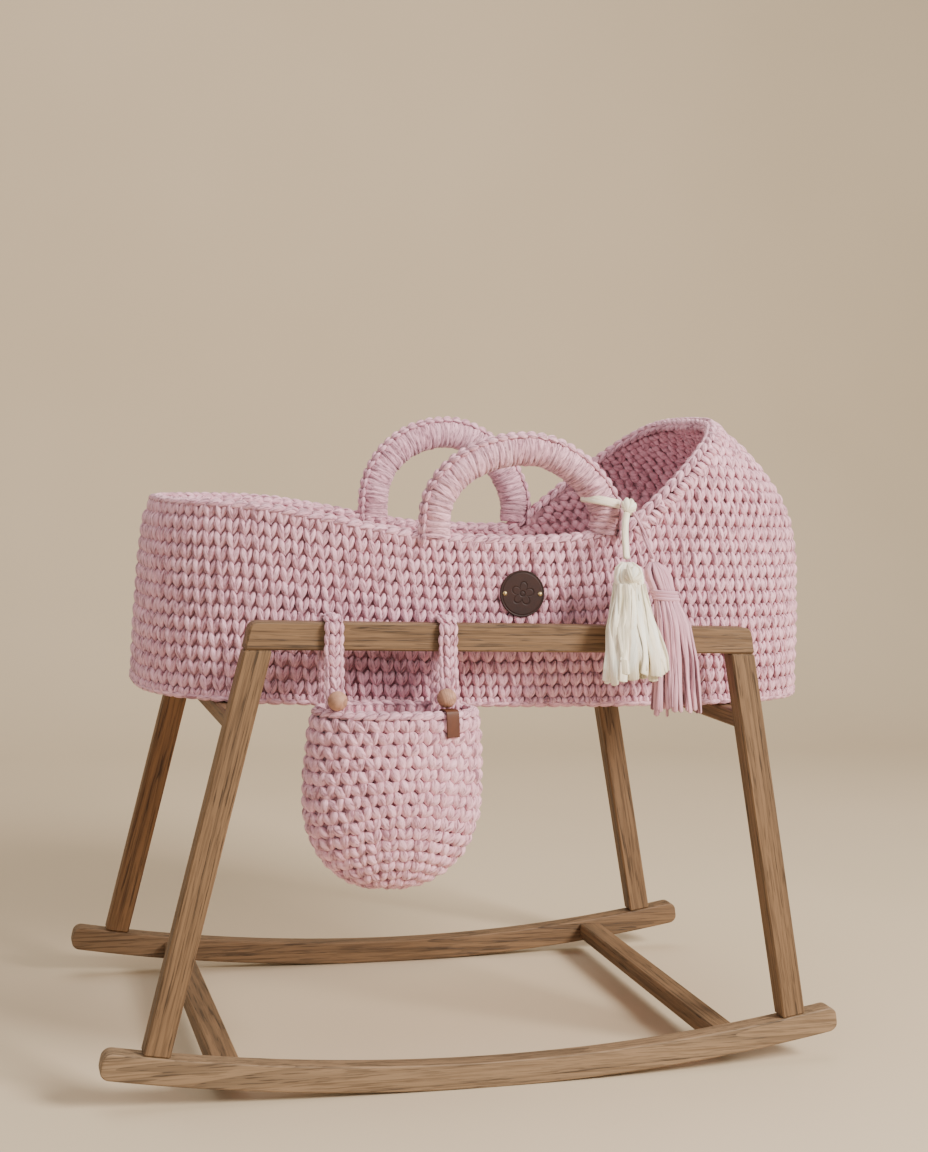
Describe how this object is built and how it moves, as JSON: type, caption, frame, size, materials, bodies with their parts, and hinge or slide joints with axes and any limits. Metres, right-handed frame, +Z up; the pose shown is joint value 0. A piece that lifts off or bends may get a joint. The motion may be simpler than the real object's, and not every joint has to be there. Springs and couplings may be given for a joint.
{
  "type": "bassinet on stand",
  "caption": "Hooded crochet moses basket with arched carry handles and tassels, resting on a wooden rocking stand with a crochet pocket hung on its front rail.",
  "frame": {"origin": "centre of the footprint box on the floor, under the stand", "axes": "+X towards the hood end, -Y to the front where the pocket hangs, +Z up"},
  "size_m": [0.819, 0.5068, 0.7108],
  "materials": {
    "oak": "oiled, fine straight grain",
    "beech": "bare",
    "plywood": "bare sheet",
    "pink_yarn": "matt cotton T-shirt yarn, crocheted",
    "cream_yarn": "matt cotton T-shirt yarn",
    "core_rope": "braided rope",
    "white_cotton": "plain woven cotton",
    "dark_leather": "smooth, slightly waxed",
    "tan_leather": "smooth",
    "bead_wood": "polished",
    "brass": "satin"
  },
  "bodies": {
    "stand": {"front_top_rail": "oak", "rear_top_rail": "oak", "front_rocker": "oak", "rear_rocker": "oak", "left_cross_rail": "oak", "right_cross_rail": "oak", "left_stretcher": "oak", "right_stretcher": "oak", "front_left_leg": "oak", "front_right_leg": "oak", "rear_left_leg": "oak", "rear_right_leg": "oak", "front_left_rail_tenon": "beech", "front_left_foot_tenon": "beech", "front_left_cross_tenon": "beech", "front_left_stretcher_tenon": "beech", "front_right_rail_tenon": "beech", "front_right_foot_tenon": "beech", "front_right_cross_tenon": "beech", "front_right_stretcher_tenon": "beech", "rear_left_rail_tenon": "beech", "rear_left_foot_tenon": "beech", "rear_left_cross_tenon": "beech", "rear_left_stretcher_tenon": "beech", "rear_right_rail_tenon": "beech", "rear_right_foot_tenon": "beech", "rear_right_cross_tenon": "beech", "rear_right_stretcher_tenon": "beech"},
    "basket": {"basket_shell": "pink_yarn", "base_board": "plywood", "leather_patch": "dark_leather", "patch_stud_left": "brass", "patch_stud_right": "brass"},
    "mattress": {"mattress": "white_cotton"},
    "front_handle": {"front_handle_core": "core_rope", "front_handle_cover": "pink_yarn", "cream_tie": "cream_yarn"},
    "rear_handle": {"rear_handle_core": "core_rope", "rear_handle_cover": "pink_yarn"},
    "cream_hanger": {"cream_cord": "cream_yarn"},
    "cream_tassel": {"cream_tassel": "cream_yarn"},
    "pink_hanger": {"pink_cord": "pink_yarn"},
    "pink_tassel": {"pink_tassel": "pink_yarn", "pink_tassel_band": "pink_yarn"},
    "pocket_straps": {"left_strap": "pink_yarn", "right_strap": "pink_yarn"},
    "pocket": {"pocket_bag": "pink_yarn", "left_bead": "bead_wood", "right_bead": "bead_wood", "leather_tag": "tan_leather"}
  },
  "joints": [
    {"name": "basket_lift", "type": "slide", "parent": "stand", "child": "basket", "axis": [0, 0, 1], "range_m": [0, 0.3]},
    {"name": "mattress_tip", "type": "hinge", "parent": "basket", "child": "mattress", "pos_m": [0.3856, 0.0266, 0.4381], "axis": [0, 1, 0], "range_deg": [0, 14]},
    {"name": "front_handle_fold", "type": "hinge", "parent": "basket", "child": "front_handle", "pos_m": [0.0176, -0.1404, 0.5963], "axis": [-0.999, 0, -0.0445], "range_deg": [0, 70]},
    {"name": "rear_handle_fold", "type": "hinge", "parent": "basket", "child": "rear_handle", "pos_m": [0.03085, 0.1936, 0.59964], "axis": [1, 0, 0.0014], "range_deg": [0, 70]},
    {"name": "cream_cord_hang", "type": "hinge", "parent": "front_handle", "child": "cream_hanger", "pos_m": [0.1281, -0.1614, 0.6075], "axis": [-0.999, 0, -0.0445], "range_deg": [-60, 0]},
    {"name": "cream_tassel_swing", "type": "hinge", "parent": "cream_hanger", "child": "cream_tassel", "pos_m": [0.1171, -0.1946, 0.5535], "axis": [-1, 0, 0], "range_deg": [0, 45]},
    {"name": "pink_cord_hang", "type": "hinge", "parent": "front_handle", "child": "pink_hanger", "pos_m": [0.1281, -0.1614, 0.6075], "axis": [-0.999, 0, -0.0445], "range_deg": [-60, 0]},
    {"name": "pink_tassel_swing", "type": "hinge", "parent": "pink_hanger", "child": "pink_tassel", "pos_m": [0.1476, -0.1909, 0.5545], "axis": [0, -1, 0], "range_deg": [0, 35]},
    {"name": "pocket_slide", "type": "slide", "parent": "stand", "child": "pocket_straps", "axis": [1, 0, 0], "range_m": [-0.04, 0.1]},
    {"name": "pocket_swing", "type": "hinge", "parent": "pocket_straps", "child": "pocket", "pos_m": [-0.1284, -0.2059, 0.4005], "axis": [-1, 0, 0], "range_deg": [-12, 12]}
  ],
  "couplings": [
    {"joint": "cream_cord_hang", "follows": "front_handle_fold", "ratio": -0.8},
    {"joint": "pink_cord_hang", "follows": "front_handle_fold", "ratio": -0.8}
  ]
}
